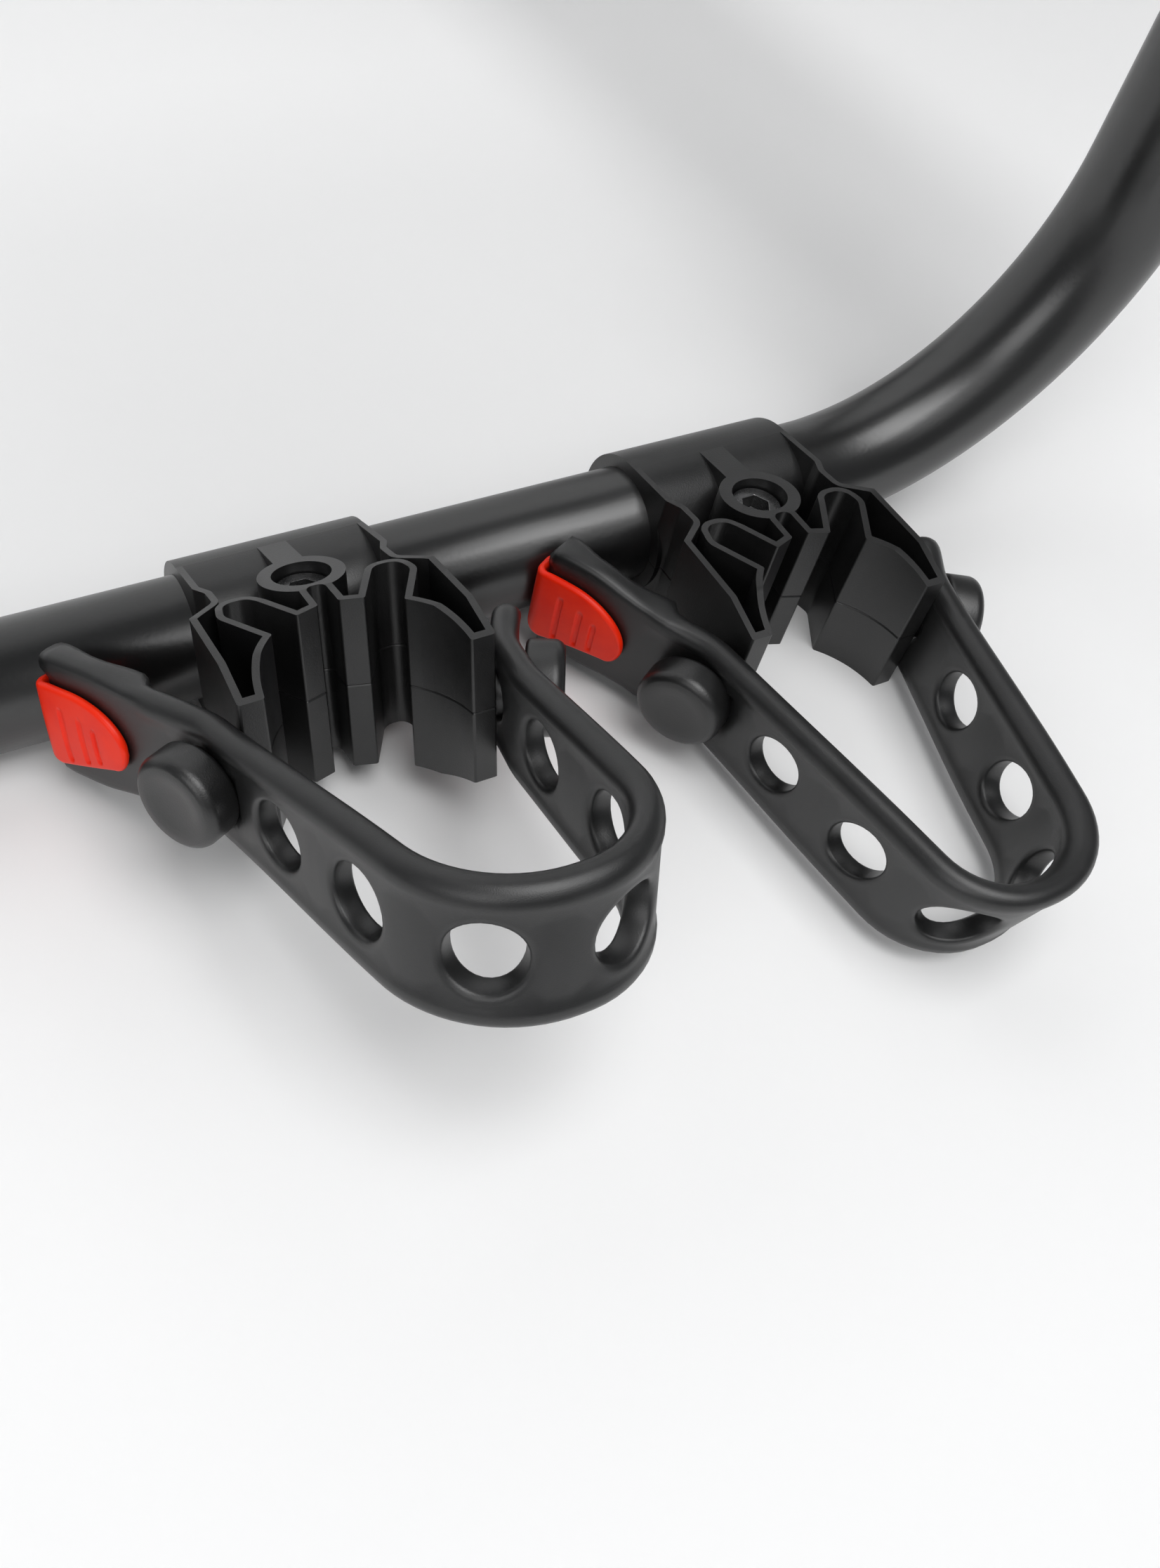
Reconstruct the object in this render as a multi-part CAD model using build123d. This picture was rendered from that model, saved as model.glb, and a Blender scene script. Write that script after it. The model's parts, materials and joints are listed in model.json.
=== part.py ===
from build123d import *
import math
import os

# Hitch bike rack, millimetres. +X points forward to the vehicle, +Y to its left, +Z up.
# The origin is the centre of the hitch pin hole in the shank.

os.makedirs("parts", exist_ok=True)

# Fits and clearances
running_gap = 0.08
thread_gap = 0.05
slip_gap = 0.3
side_gap = 0.4
soft_gap = 0.3

# Hitch shank, a square tube that slides into a 2 inch receiver
shank_side = 50.8
shank_wall = 5.0
shank_corner = 4.0
shank_ahead = 70.0
shank_end_gap = 34.0

# Threaded hitch bolt
hitch_bolt_r = 8.0
hitch_hole_gap = 0.2
hitch_head_flats = 24.0
hitch_head_h = 10.0
hitch_bolt_length = 86.0
receiver_half = 31.8
hitch_washer_r = 16.0
hitch_washer_t = 3.0
lock_washer_r = 13.2
lock_washer_t = 3.6
lock_washer_split = 2.0
hitch_nut_h = 13.0
hitch_chamfer = 1.5

# Mast
mast_side = 50.0
mast_wall = 3.0
mast_corner = 4.0
mast_behind = 230.0
mast_foot = 16.0
mast_above_pivot = 30.0
fold_pivot_z = 670.0

# Side plates of the tilt base and of the folding arm head
base_plate_t = 6.0
base_hub_r = 28.0
base_lug_r = 14.0
base_weld_reach = 120.0
base_weld_r = 15.0
base_weld_dz = 10.0
base_slot_r = 70.0
tilt_angle = 45.0
head_plate_t = 5.0
head_hub_r = 20.0
head_lug_r = 12.0
head_slot_r = 38.0
fold_angle = 90.0
tube_ring_t = 9.0

# Pivot and clamp bolts
pivot_r = 6.0
pivot_flats = 18.0
pivot_head_h = 7.5
pivot_nut_h = 10.0
pivot_washer_r = 12.0
pivot_washer_t = 2.5
bush_r = 9.0
bolt_tail = 4.0
clamp_r = 5.0
clamp_head_r = 10.5
clamp_head_h = 5.5
clamp_washer_r = 10.5
clamp_washer_t = 2.0

# Hand knobs
knob_r = 22.0
knob_rim_h = 16.0
knob_hub_r = 12.0
knob_hub_h = 8.0
knob_flutes = 6
knob_flute_r = 7.0
knob_round = 1.5

# Plastic caps in the open tube ends
cap_t = 4.0
cap_plug = 14.0
cap_fit = 0.2
cap_round = 1.5

# Carrying tube, one bent tube that makes both arms
tube_r = 19.0
tube_wall = 2.0
tube_bend_r = 101.0
arm_spacing = 380.0
arm_above_pivot = 50.0
arm_behind_pivot = 60.0
arm_tail = 169.5

# Places of the four cradles
cradle_pitch = 150.5
cradle_after_bend = 41.0
front_lean = 0.0
rear_lean = -17.6

# Cradle, two moulded halves bolted round the tube
saddle_half = 29.5
saddle_r = 23.25
saddle_bore_gap = 0.1
cradle_wall = 2.0
cradle_half_depth = 27.8
cradle_web_t = 3.0
cradle_corner = 0.8
shoulder_z = 19.0
neck_x = 27.3
neck_low_z = 24.0
neck_high_z = 31.5
neck_r = 3.0
lobe_knee_x = 35.6
lobe_knee_z = 38.3
lobe_tip_x = 35.1
lobe_tip_w = 7.1
lobe_tip_z = 77.2
lobe_heel_x = 18.6
lobe_heel_z = 56.5
lobe_hollow_x = 24.9
lobe_hollow_z = 65.5
lobe_taper_z = 63.5
lobe_tip_half_depth = 23.3
side_groove_x = 27.0
side_groove_z = 41.5
side_groove_floor_z = 34.6
side_groove_low_x = 25.5
side_groove_inner_x = 18.6
side_groove_outer_r = 3.8
side_groove_inner_r = 4.2
prong_outer_x = 9.7
prong_outer_z = 50.6
prong_inner_x = 2.9
prong_inner_z = 48.4
centre_groove_x = 2.8
centre_groove_floor_z = 37.4
centre_groove_r = 2.3

# Boss of the cross bolt and the rib under it
boss_z = 27.0
boss_r = 12.6
boss_half = 26.5
boss_sink_r = 8.6
boss_rib_half = 4.5
cross_bolt_r = 5.0
cross_head_r = 8.0
cross_head_h = 10.0
cross_head_depth = 4.3
cross_socket_flats = 8.0
cross_socket_depth = 5.0
cross_nut_flats = 17.0
cross_nut_h = 8.0
cross_nut_depth = 2.0

# Mushroom pegs that hold the strap
peg_tilt = 31.0
peg_foot_z = 65.6
peg_stem_r = 8.0
peg_root_r = 4.5
peg_root = 4.0
peg_reach = 24.0
peg_head_r = 13.5
peg_head_t = 11.0
peg_head_round = 2.5

# Rubber strap
strap_half = 18.0
strap_web_half = 12.0
strap_bead_t = 7.0
strap_web_t = 4.8
strap_off_wall = 6.4
strap_hole_r = 9.0
strap_gaps = 7
strap_tab = 58.0
strap_tail = 24.0
strap_tail_round = 13.0
strap_tab_round = 7.0
strap_bend_r = 25.0
strap_push_out = 0.6
strap_clear_of_tube = 0.6

# Red pull tab shell on the strap's free end
tab_start = 26.0
tab_skin = 2.6
tab_lip = 12.0
tab_half = 13.5
tab_tip_half = 4.0
tab_tip_r = 3.0
tab_full_at = 48.0
tab_corner_r = 4.5
leaf_middle = (35.0, 10.6)
grip_places = (36.5, 41.5, 49.0)
grip_halves = (4.0, 6.5, 8.0)
grip_depth = 0.6
grip_half_w = 0.7

# Turns of the rear and the front strap above the pegs: corner places and bend radii
rear_loop = (((-15.0, 162.0), 34.0), ((37.7, 162.0), 25.0), ((38.2, 87.0), 30.0))
front_loop = (((-26.5, 168.8), 20.0), ((15.1, 168.8), 28.0), ((34.9, 92.0), 40.0))

# Places worked out from the sizes above
mast_x = -mast_behind
arm_z = fold_pivot_z + arm_above_pivot
cross_x = mast_x - arm_behind_pivot
bend_x = cross_x - tube_bend_r
front_cradle_x = bend_x - cradle_after_bend
rear_cradle_x = front_cradle_x - cradle_pitch
arm_end_x = rear_cradle_x - arm_tail
arm_y = arm_spacing / 2
plate_in = mast_side / 2 + side_gap
base_out = plate_in + base_plate_t
head_out = plate_in + head_plate_t
along_y = Rot(-90, 0, 0)
against_y = Rot(90, 0, 0)


def box_between(low, high):
    """Box given by its lowest and highest corners."""
    size = [b - a for a, b in zip(low, high)]
    centre = [(a + b) / 2 for a, b in zip(low, high)]
    return Pos(*centre) * Box(*size)


def square_tube(side, wall, corner, length):
    """Square tube along +Z from its lower end at z = 0."""
    outer = extrude(RectangleRounded(side, side, corner), length)
    hollow = side - 2 * wall
    return outer - extrude(RectangleRounded(hollow, hollow, max(corner - wall, 0.5)), length)


def square_cap(side, wall, corner):
    """Plastic cap for a square tube, its plug down the tube from z = 0."""
    plate = fillet(extrude(RectangleRounded(side, side, corner), cap_t).faces().sort_by(Axis.Z)[-1].edges(), cap_round)
    plug_side = side - 2 * wall - 2 * cap_fit
    hollow = plug_side - 2 * cap_t
    plug = extrude(RectangleRounded(plug_side, plug_side, 0.8), -cap_plug)
    return plate + plug - extrude(RectangleRounded(hollow, hollow, 0.5), -cap_plug)


def disc(radius, low, high, bore=0.0):
    """Round disc or ring along Z."""
    ring = Pos(0, 0, low) * extrude(Circle(radius), high - low)
    if bore > 0:
        ring = ring - Pos(0, 0, low) * extrude(Circle(bore), high - low)
    return ring


def hexagon(flats, low, high, bore=0.0):
    """Hexagonal prism along Z, with a bore for a nut."""
    prism = Pos(0, 0, low) * extrude(RegularPolygon(flats / 2, 6, major_radius=False), high - low)
    if bore > 0:
        prism = prism - Pos(0, 0, low) * extrude(Circle(bore), high - low)
    return prism


def hex_bolt(radius, length, flats, head_h, tip):
    """Hexagon bolt along +Z, head below z = 0."""
    shank = chamfer(disc(radius, 0, length).faces().sort_by(Axis.Z)[-1].edges(), tip)
    return shank + hexagon(flats, -head_h, 0)


def round_bolt(radius, length, head_r, head_h):
    """Coach bolt along +Z with a domed head below z = 0."""
    head = disc(head_r, -head_h, 0)
    head = fillet(head.faces().sort_by(Axis.Z)[0].edges(), head_h * 0.8)
    return disc(radius, 0, length) + head


def knob():
    """Fluted hand knob, its hub on z = 0."""
    rim = disc(knob_r, knob_hub_h, knob_hub_h + knob_rim_h)
    for place in PolarLocations(knob_r + knob_flute_r * 0.55, knob_flutes):
        rim = rim - place * disc(knob_flute_r, knob_hub_h, knob_hub_h + knob_rim_h)
    rim = fillet(rim.faces().sort_by(Axis.Z)[-1].edges(), knob_round)
    body = rim + disc(knob_hub_r, 0, knob_hub_h)
    return body - disc(clamp_r + running_gap, 0, knob_hub_h + knob_rim_h)


def arc_point(radius, angle):
    """Point at an angle in degrees from straight up, turning towards -X."""
    return (-radius * math.sin(math.radians(angle)), radius * math.cos(math.radians(angle)))


def plate_sheet(circles):
    """Flat outline round a list of (place, radius) circles."""
    edges = ShapeList()
    for place, radius in circles:
        edges += (Pos(*place) * Circle(radius)).edges()
    return make_hull(edges)


def lock_slot(radius, start, end):
    """Curved slot for the clamp bolt, angles in degrees from straight up towards -X."""
    middle = CenterArc((0, 0), radius, 90 + start, end - start)
    return SlotArc(middle, 2 * (clamp_r + slip_gap))


def plate_pair(outline, thickness):
    """The outline as a pair of plates, one on each side of the mast."""
    left = Pos(0, plate_in + thickness, 0) * extrude(Plane.XZ * outline, thickness)
    return [left, mirror(left, about=Plane.XZ)]


def shank_tube():
    """Square shank along X with the pin hole."""
    rear = mast_x + shank_end_gap
    tube = Pos(rear, 0, 0) * Rot(0, 90, 0) * square_tube(shank_side, shank_wall, shank_corner, shank_ahead - rear)
    return tube - along_y * disc(hitch_bolt_r + hitch_hole_gap, -shank_side, shank_side)


def base_plates():
    """Two gusset plates welded to the shank, with the tilt pivot and its lock slot."""
    weld_x = base_weld_reach
    spots = [((0, 0), base_hub_r), ((weld_x, base_weld_dz), base_weld_r), ((weld_x, -base_weld_dz), base_weld_r)]
    spots += [(arc_point(base_slot_r, tilt_angle * k / 2), base_lug_r) for k in range(3)]
    sheet = plate_sheet(spots) - Circle(pivot_r + running_gap) - lock_slot(base_slot_r, 0, tilt_angle)
    return [Pos(mast_x, 0, 0) * plate for plate in plate_pair(sheet, base_plate_t)]


def head_plates():
    """Two plates welded to the carrying tube, with the fold pivot and its lock slot."""
    tube_place = (-arm_behind_pivot, arm_above_pivot)
    spots = [((0, 0), head_hub_r), (tube_place, tube_r + tube_ring_t)]
    spots += [(arc_point(head_slot_r, 180 - fold_angle * k / 2), head_lug_r) for k in range(3)]
    sheet = plate_sheet(spots) - Circle(pivot_r + running_gap) - Pos(*tube_place) * Circle(tube_r)
    sheet = sheet - lock_slot(head_slot_r, 180 - fold_angle, 180)
    return [Pos(mast_x, 0, fold_pivot_z) * plate for plate in plate_pair(sheet, head_plate_t)]


def mast_tube():
    """Square mast with holes for the bushes and the two clamp bolts."""
    height = fold_pivot_z + mast_above_pivot + mast_foot
    tube = Pos(mast_x, 0, -mast_foot) * square_tube(mast_side, mast_wall, mast_corner, height)
    for z, radius in mast_holes():
        tube = tube - Pos(mast_x, 0, z) * along_y * disc(radius, -mast_side, mast_side)
    return tube


def mast_holes():
    """Heights and radii of the cross holes in the mast."""
    clamp_hole = clamp_r + slip_gap
    return ((0, bush_r), (fold_pivot_z, bush_r), (base_slot_r, clamp_hole), (fold_pivot_z - head_slot_r, clamp_hole))


def bush(z):
    """Steel sleeve across the mast that carries a pivot bolt."""
    half = mast_side / 2
    return Pos(mast_x, 0, z) * along_y * disc(bush_r, -half, half, pivot_r + running_gap)


def pivot_set(z, outside):
    """Pivot bolt, its nut and its two washers across a pair of plates."""
    place = Pos(mast_x, 0, z)
    seat = outside + slip_gap
    head_y = -(seat + pivot_washer_t)
    length = 2 * (seat + pivot_washer_t) + pivot_nut_h + bolt_tail
    bolt = place * Pos(0, head_y, 0) * along_y * hex_bolt(pivot_r, length, pivot_flats, pivot_head_h, 1)
    nut_low = seat + pivot_washer_t
    nut = place * along_y * hexagon(pivot_flats, nut_low, nut_low + pivot_nut_h, pivot_r + thread_gap)
    washers = [place * along_y * disc(pivot_washer_r, seat, nut_low, pivot_r + thread_gap)]
    washers.append(place * along_y * disc(pivot_washer_r, -nut_low, -seat, pivot_r + thread_gap))
    return bolt, nut, washers


def clamp_set(z, outside):
    """Clamp bolt through the mast, its two washers and its hand knob."""
    place = Pos(mast_x, 0, z)
    seat = outside + slip_gap
    stack = seat + clamp_washer_t
    knob_y = stack + slip_gap
    length = stack + knob_y + knob_hub_h + knob_rim_h - slip_gap
    bolt = place * Pos(0, -stack, 0) * along_y * round_bolt(clamp_r, length, clamp_head_r, clamp_head_h)
    washers = [place * along_y * disc(clamp_washer_r, seat, stack, clamp_r + thread_gap)]
    washers.append(place * along_y * disc(clamp_washer_r, -stack, -seat, clamp_r + thread_gap))
    return bolt, washers, place * Pos(0, knob_y, 0) * along_y * knob()


def hitch_bolt_set():
    """Threaded hitch bolt with its washers and the nut welded inside the shank."""
    washer_y = receiver_half
    lock_y = washer_y + hitch_washer_t
    head_y = lock_y + lock_washer_t
    bolt = Pos(0, -head_y, 0) * along_y * hex_bolt(
        hitch_bolt_r, hitch_bolt_length, hitch_head_flats, hitch_head_h, hitch_chamfer
    )
    bore = hitch_bolt_r + thread_gap
    washer = against_y * disc(hitch_washer_r, washer_y, lock_y, bore)
    lock = against_y * disc(lock_washer_r, lock_y, head_y, bore)
    split_low = (bore / 2, -head_y, -lock_washer_split / 2)
    lock = lock - box_between(split_low, (2 * lock_washer_r, -lock_y, lock_washer_split / 2))
    inside = shank_side / 2 - shank_wall
    nut = along_y * hexagon(hitch_head_flats, inside - hitch_nut_h, inside, hitch_bolt_r + running_gap)
    return bolt, washer, lock, nut


def carrying_tube():
    """Bent tube: two arms that run back and the crossing tube between them."""
    corners = [(arm_end_x, -arm_y), (cross_x, -arm_y), (cross_x, arm_y), (arm_end_x, arm_y)]
    path = Pos(0, 0, arm_z) * FilletPolyline(*corners, radius=tube_bend_r)
    start = Plane(origin=(arm_end_x, -arm_y, arm_z), z_dir=(1, 0, 0))
    outer = sweep(start * Circle(tube_r), path)
    return outer - sweep(start * Circle(tube_r - tube_wall), path)


def arm_end_caps():
    """Two round caps in the rear ends of the arms."""
    dome = fillet(disc(tube_r, 0, cap_t).faces().sort_by(Axis.Z)[-1].edges(), cap_round)
    plug_r = tube_r - tube_wall - cap_fit
    cap = dome + disc(plug_r, -cap_plug, 0) - disc(plug_r - cap_t, -cap_plug, 0)
    return [Pos(arm_end_x, y, arm_z) * Rot(0, -90, 0) * cap for y in (-arm_y, arm_y)]


def cradle_section():
    """Filled cross-section of the cradle in its own XZ plane."""
    knee, tip, tip_in, heel, prong_out, prong_in = sharp_corners()
    foot = Line((0, 0), (saddle_half, 0))
    flange = FilletPolyline(
        (saddle_half, 0),
        (saddle_half, shoulder_z),
        (neck_x, neck_low_z),
        (neck_x, neck_high_z),
        knee,
        radius=neck_r,
    )
    lobe = Polyline(knee, tip, tip_in)
    hollow = ThreePointArc(tip_in, (lobe_hollow_x, lobe_hollow_z), heel)
    side_groove = FilletPolyline(
        heel,
        (side_groove_x, side_groove_z),
        (side_groove_low_x, side_groove_floor_z),
        (side_groove_inner_x, side_groove_floor_z),
        prong_out,
        radius=[side_groove_outer_r, side_groove_outer_r, side_groove_inner_r],
    )
    prong = Line(prong_out, prong_in)
    centre_floor = (0, centre_groove_floor_z)
    centre_groove = FilletPolyline(
        prong_in, (centre_groove_x, centre_groove_floor_z), centre_floor, radius=centre_groove_r
    )
    middle = Line(centre_floor, (0, 0))
    half = make_face(foot + flange + lobe + hollow + side_groove + prong + centre_groove + middle)
    return half + mirror(half, about=Plane.YZ)


def sharp_corners():
    """Corners of the section's right side that are rounded last: knee, tip, heel and prong."""
    return [
        (lobe_knee_x, lobe_knee_z),
        (lobe_tip_x, lobe_tip_z),
        (lobe_tip_x - lobe_tip_w, lobe_tip_z),
        (lobe_heel_x, lobe_heel_z),
        (prong_outer_x, prong_outer_z),
        (prong_inner_x, prong_inner_z),
    ]


def rounded(section):
    """The section with its sharp corners slightly rounded."""
    corners = []
    for x, z in sharp_corners():
        for side in (-1, 1):
            corners.append(section.vertices().sort_by_distance((side * x, z))[0])
    return fillet(corners, cradle_corner)


def cradle_cells(section):
    """The section less a wall's thickness along its outline, open towards the tube."""
    cells = section
    for edge in section.face().outer_wire().edges():
        if edge.center().Y > 0:
            cells = cells - trace(edge, 2 * cradle_wall)
    for corner in section.vertices():
        if corner.Y > 0:
            cells = cells - Pos(corner.X, corner.Y) * Circle(cradle_wall)
    return cells


def cradle_side_view():
    """Outline of the cradle seen along the tube."""
    lobes = Polyline(
        (-cradle_half_depth, lobe_knee_z),
        (-cradle_half_depth, lobe_taper_z),
        (-lobe_tip_half_depth, lobe_tip_z),
        (lobe_tip_half_depth, lobe_tip_z),
        (cradle_half_depth, lobe_taper_z),
        (cradle_half_depth, lobe_knee_z),
        close=True,
    )
    return make_hull(ShapeList(lobes.edges() + Circle(saddle_r).edges()))


def peg_place(side):
    """Location of a peg's foot on the lobe wall, +Z along the peg; side is +1 front, -1 rear."""
    return Pos(side * lobe_tip_x, 0, peg_foot_z) * Rot(0, side * (90 - peg_tilt), 0)


def cradle_body():
    """Both cradle halves in one piece, before they are cut apart."""
    section = cradle_section()
    depth = extrude(Plane.YZ * cradle_side_view(), 2 * lobe_knee_x, both=True)
    body = extrude(Plane.XZ * rounded(section), cradle_half_depth, both=True) & depth
    cells = cradle_cells(section)
    pocket = extrude(Plane.XZ * cells, cradle_half_depth, both=True)
    boss = along_y * Pos(0, -boss_z, 0) * disc(boss_r, -cradle_half_depth, cradle_half_depth)
    rib = box_between((-boss_rib_half, -cradle_half_depth, 0), (boss_rib_half, cradle_half_depth, boss_z))
    web = box_between((-lobe_knee_x, -cradle_web_t / 2, 0), (lobe_knee_x, cradle_web_t / 2, lobe_tip_z))
    pocket = pocket - boss - rib - web
    body = body - pocket + Rot(0, 90, 0) * disc(saddle_r, -saddle_half, saddle_half)
    body = body - Rot(0, 90, 0) * disc(tube_r + saddle_bore_gap, -saddle_half, saddle_half)
    hole = disc(cross_bolt_r + running_gap, -cradle_half_depth, cradle_half_depth)
    hole = hole + disc(boss_sink_r, cross_seat(), cradle_half_depth)
    hole = hole + hexagon(cross_nut_flats + 2 * slip_gap, -cradle_half_depth, nut_face() + cross_nut_h)
    body = body - along_y * Pos(0, -boss_z, 0) * hole
    for side in (-1, 1):
        body = body - peg_place(side) * disc(peg_root_r + running_gap, -peg_root, peg_stem_r)
    return body


def cross_seat():
    """Distance of the bolt head's seat from the cradle's middle plane."""
    return boss_half - cross_head_depth - cross_head_h


def nut_face():
    """Place of the nut's outer face across the cradle."""
    return cross_nut_depth - boss_half


def cross_bolt():
    """Socket head bolt that pulls the cradle halves together."""
    seat = cross_seat()
    length = seat - nut_face()
    head = disc(cross_head_r, 0, cross_head_h)
    head = head - hexagon(cross_socket_flats, cross_head_h - cross_socket_depth, cross_head_h)
    bolt = head + disc(cross_bolt_r, -length, 0)
    return along_y * Pos(0, -boss_z, seat) * bolt


def cross_nut():
    """Hexagon nut in its seat on the other side of the boss."""
    nut = hexagon(cross_nut_flats, nut_face(), nut_face() + cross_nut_h, cross_bolt_r + thread_gap)
    return along_y * Pos(0, -boss_z, 0) * nut


def peg(side):
    """Mushroom peg with a root that the cradle halves hold."""
    face = disc(peg_head_r, peg_reach - peg_head_t, peg_reach)
    rims = face.faces().filter_by(Axis.Z).edges()
    head = fillet(rims, peg_head_round)
    stem = peg_place(side) * disc(peg_stem_r, -peg_stem_r, peg_reach - peg_head_t)
    beyond = 3 * peg_stem_r
    wall = side * lobe_knee_x
    keep = box_between(
        (min(wall, wall + side * beyond), -beyond, peg_foot_z - beyond),
        (max(wall, wall + side * beyond), beyond, peg_foot_z + beyond),
    )
    root = peg_place(side) * disc(peg_root_r, -peg_root, peg_stem_r)
    return peg_place(side) * head + (stem & keep) + root


def strap_frame(side, along):
    """Place on the strap's middle line, a length past the peg towards the strap's end."""
    return peg_place(side) * Pos(side * along, 0, strap_off_wall + strap_push_out)


def strap_path(loop):
    """Middle line of the strap: tab end, rear peg, loop, front peg, tail end."""
    tab_end = strap_frame(-1, strap_tab).position
    tail_end = strap_frame(1, strap_tail).position
    rear = strap_frame(-1, 0).position
    front = strap_frame(1, 0).position
    corners = [(tab_end.X, tab_end.Z), (rear.X, rear.Z)]
    radii = [strap_bend_r]
    for corner, radius in loop:
        corners.append(corner)
        radii.append(radius)
    corners += [(front.X, front.Z), (tail_end.X, tail_end.Z)]
    radii.append(strap_bend_r)
    return FilletPolyline(*corners, radius=radii)


def band(path, thickness, half):
    """Flat band along a path in the XZ plane, a length of it for each run and bend."""
    runs = [extrude(Plane.XZ * trace(edge, thickness), half, both=True) for edge in path.edges()]
    whole = runs[0]
    for run in runs[1:]:
        whole = whole + run
    return whole


def strap(loop):
    """Rubber strap: a web with a thick bead along each edge and a row of holes."""
    path = strap_path(loop)
    body = band(path, strap_web_t, strap_half)
    beads = band(path, strap_bead_t, strap_half) - band(path, strap_bead_t, strap_web_half)
    body = body + beads
    free = path.length - strap_tab - strap_tail
    for k in range(1, strap_gaps):
        reach = (strap_tab + free * k / strap_gaps) / path.length
        spot = path.position_at(reach)
        run = path.tangent_at(reach)
        place = Plane(origin=(spot.X, 0, spot.Y), x_dir=(run.X, 0, run.Y), z_dir=(-run.Y, 0, run.X))
        body = body - place * disc(strap_hole_r, -strap_bead_t, strap_bead_t)
    for side in (-1, 1):
        body = body - strap_frame(side, 0) * disc(strap_hole_r, -strap_bead_t, strap_bead_t)
        head_low = peg_reach - peg_head_t - soft_gap
        body = body - peg_place(side) * disc(peg_head_r + soft_gap, head_low, head_low + 2 * peg_head_t)
    body = body - end_cut(-1, strap_tab, strap_tab_round) - end_cut(1, strap_tail, strap_tail_round)
    wide = lobe_tip_x + soft_gap
    lobes = box_between((-wide, -cradle_half_depth, 0), (wide, cradle_half_depth, lobe_tip_z + soft_gap))
    return body - lobes - tube_room()


def end_cut(side, along, corner):
    """What a strap end loses to its two rounded corners."""
    block = Box(2 * corner, 2 * strap_half + corner, 3 * strap_bead_t)
    inner = Box(2 * corner, 2 * (strap_half - corner), 3 * strap_bead_t)
    rounds = [Pos(-corner, y, 0) * Cylinder(corner, 3 * strap_bead_t) for y in (corner - strap_half, strap_half - corner)]
    keep = Pos(-2 * corner, 0, 0) * Box(2 * corner, 2 * strap_half + 2 * corner, 3 * strap_bead_t)
    cut = block - inner - rounds[0] - rounds[1] - keep
    turned = cut if side > 0 else mirror(cut, about=Plane.YZ)
    return strap_frame(side, along) * turned


def tube_room():
    """Space round the tube that the strap's tab keeps clear of."""
    return Rot(0, 90, 0) * disc(tube_r + strap_clear_of_tube, -4 * saddle_half, 4 * saddle_half)


def pull_tab():
    """Red shell over the strap's free end, leaf shaped, with three grip grooves."""
    end = strap_tab + soft_gap
    outer = end + tab_skin
    half_leaf = make_face(
        Line((tab_start, 0), (tab_start, tab_tip_half))
        + ThreePointArc((tab_start, tab_tip_half), leaf_middle, (tab_full_at, tab_half))
        + Polyline((tab_full_at, tab_half), (outer, tab_half), (outer, 0), (tab_start, 0))
    )
    leaf = half_leaf + mirror(half_leaf, about=Plane.XZ)
    ends = leaf.vertices().sort_by(Axis.X)
    leaf = fillet(ends[:2], tab_tip_r)
    leaf = fillet(leaf.vertices().sort_by(Axis.X)[-2:], tab_corner_r)
    low = strap_bead_t / 2 + soft_gap
    block = Pos(0, 0, -low - tab_skin) * extrude(leaf, 2 * (low + tab_skin))
    hollow = box_between((0, -strap_half, -low), (end, strap_half, low))
    under = box_between((0, -strap_half, -low - tab_skin), (end - tab_lip, strap_half, 0))
    shell = block - hollow - under
    for along, half in zip(grip_places, grip_halves):
        top = low + tab_skin
        shell = shell - box_between((along - grip_half_w, -half, top - grip_depth), (along + grip_half_w, half, top))
    return strap_frame(-1, 0) * mirror(shell, about=Plane.YZ) - tube_room()


def write(name, shapes):
    """Write one sub-part, a solid or a list of solids, to its STEP file."""
    whole = shapes if isinstance(shapes, list) else [shapes]
    solids = [solid for shape in whole for solid in shape.solids()]
    export_step(solids[0] if len(solids) == 1 else Compound(children=solids), "parts/" + name + ".step")


def write_cradle(name, body, x, y, lean, loop):
    """Write the pieces of one cradle at its place on an arm."""
    place = Pos(x, y, arm_z) * Rot(lean, 0, 0)
    write(name + "_cradle_left_half", place * split(body, Plane.XZ, keep=Keep.BOTTOM))
    write(name + "_cradle_right_half", place * split(body, Plane.XZ, keep=Keep.TOP))
    write(name + "_cradle_bolt", place * cross_bolt())
    write(name + "_cradle_nut", place * cross_nut())
    write(name + "_strap_pegs", [place * peg(-1), place * peg(1)])
    write(name + "_strap", place * strap(loop))
    write(name + "_pull_tab", place * pull_tab())


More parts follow.
